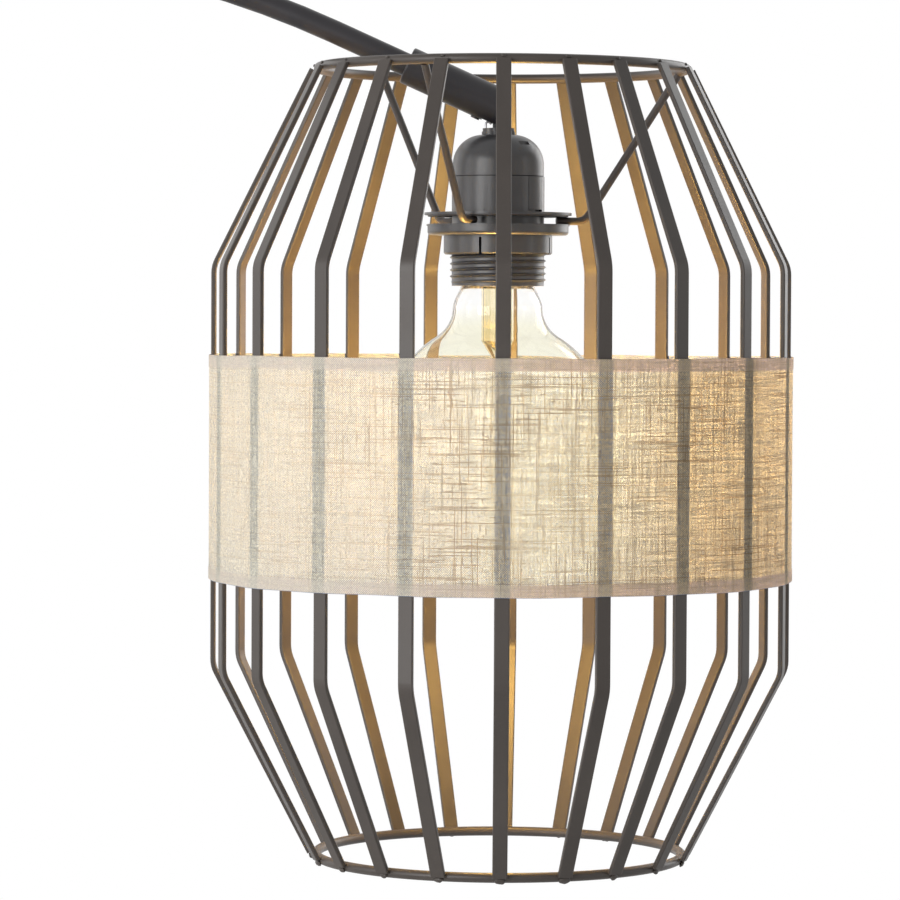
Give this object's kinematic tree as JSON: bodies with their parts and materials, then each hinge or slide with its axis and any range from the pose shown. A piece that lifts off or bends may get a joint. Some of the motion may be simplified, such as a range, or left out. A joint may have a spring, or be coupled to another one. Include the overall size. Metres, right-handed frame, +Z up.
{
  "type": "arc floor lamp with a wire cage shade",
  "caption": "Arc floor lamp: weighted base, pole and thin bowed arm, from which a wire cage shade with a linen band and a clear globe bulb hangs.",
  "frame": {"origin": "middle of the base's underside, on the floor", "axes": "+Z up along the pole, +X from the pole towards the hanging shade, -Y towards the pictured front"},
  "size_m": [0.9015, 0.29, 1.6],
  "materials": {
    "stand_paint": "satin black paint",
    "arm_paint": "satin black paint",
    "cast_iron": "rough cast",
    "felt": "felt",
    "zinc_steel": "zinc plated",
    "black_steel": "blackened",
    "cord_rubber": "matte",
    "bare_wire": "drawn wire",
    "holder_plastic": "satin moulded",
    "socket_ceramic": "unglazed",
    "socket_brass": "plain",
    "cage_paint": "satin grey-brown paint",
    "spider_paint": "satin grey-brown paint",
    "linen": "natural slubby weave",
    "bulb_glass": "clear",
    "stem_glass": "clear",
    "cap_metal": "plain",
    "cap_insulator": "black",
    "filament": "coated stick",
    "support_wire": "bright wire"
  },
  "bodies": {
    "stand": {"base_cover": "stand_paint", "pole_foot": "stand_paint", "pole_lower": "stand_paint", "pole_joiner": "stand_paint", "pole_upper": "stand_paint", "arm_collar": "stand_paint", "base_weight": "cast_iron", "base_pad": "felt", "base_washer": "zinc_steel", "base_nut": "zinc_steel", "pole_nipple": "zinc_steel", "collar_screw": "black_steel", "cord_bush": "cord_rubber"},
    "arm": {"arc_arm": "arm_paint", "end_sleeve": "arm_paint", "flex_clamp_screw": "black_steel"},
    "flex_link": {"holder_flex": "cord_rubber", "hanger_wire": "bare_wire"},
    "shade": {"cord_grip": "holder_plastic", "holder_cap": "holder_plastic", "holder_body": "holder_plastic", "socket_insulator": "socket_ceramic", "terminal_screws": "socket_brass", "socket_shell": "socket_brass", "centre_contact": "socket_brass", "top_ring": "cage_paint", "bottom_ring": "cage_paint", "rib_01": "cage_paint", "rib_02": "cage_paint", "rib_03": "cage_paint", "rib_04": "cage_paint", "rib_05": "cage_paint", "rib_06": "cage_paint", "rib_07": "cage_paint", "rib_08": "cage_paint", "rib_09": "cage_paint", "rib_10": "cage_paint", "rib_11": "cage_paint", "rib_12": "cage_paint", "rib_13": "cage_paint", "rib_14": "cage_paint", "rib_15": "cage_paint", "rib_16": "cage_paint", "rib_17": "cage_paint", "rib_18": "cage_paint", "rib_19": "cage_paint", "rib_20": "cage_paint", "spider_hub": "spider_paint", "spider_wire_1": "spider_paint", "spider_wire_2": "spider_paint", "spider_wire_3": "spider_paint", "fabric_band": "linen"},
    "ring_nut": {"shade_ring_nut": "holder_plastic"},
    "bulb": {"bulb_glass": "bulb_glass", "bulb_stem": "stem_glass", "bulb_cap": "cap_metal", "bulb_tip": "cap_metal", "bulb_insulator": "cap_insulator", "bulb_filaments": "filament", "filament_supports": "support_wire"}
  },
  "joints": [
    {"name": "arm_swivel", "type": "hinge", "parent": "stand", "child": "arm", "pos_m": [0, 0, 1.14], "axis": [0, 0, 1], "range_deg": [-170, 170]},
    {"name": "shade_swing_side", "type": "hinge", "parent": "arm", "child": "flex_link", "pos_m": [0.63205, 0, 1.52296], "axis": [0, 1, 0], "range_deg": [-15, 5]},
    {"name": "shade_swing_fore", "type": "hinge", "parent": "flex_link", "child": "shade", "pos_m": [0.63205, 0, 1.52046], "axis": [1, 0, 0], "range_deg": [-15, 15]},
    {"name": "ring_nut_unscrew", "type": "slide", "parent": "shade", "child": "ring_nut", "axis": [0, 0, -1], "range_m": [0, 0.012]},
    {"name": "bulb_unscrew", "type": "slide", "parent": "shade", "child": "bulb", "axis": [0, 0, -1], "range_m": [0, 0.028]}
  ]
}
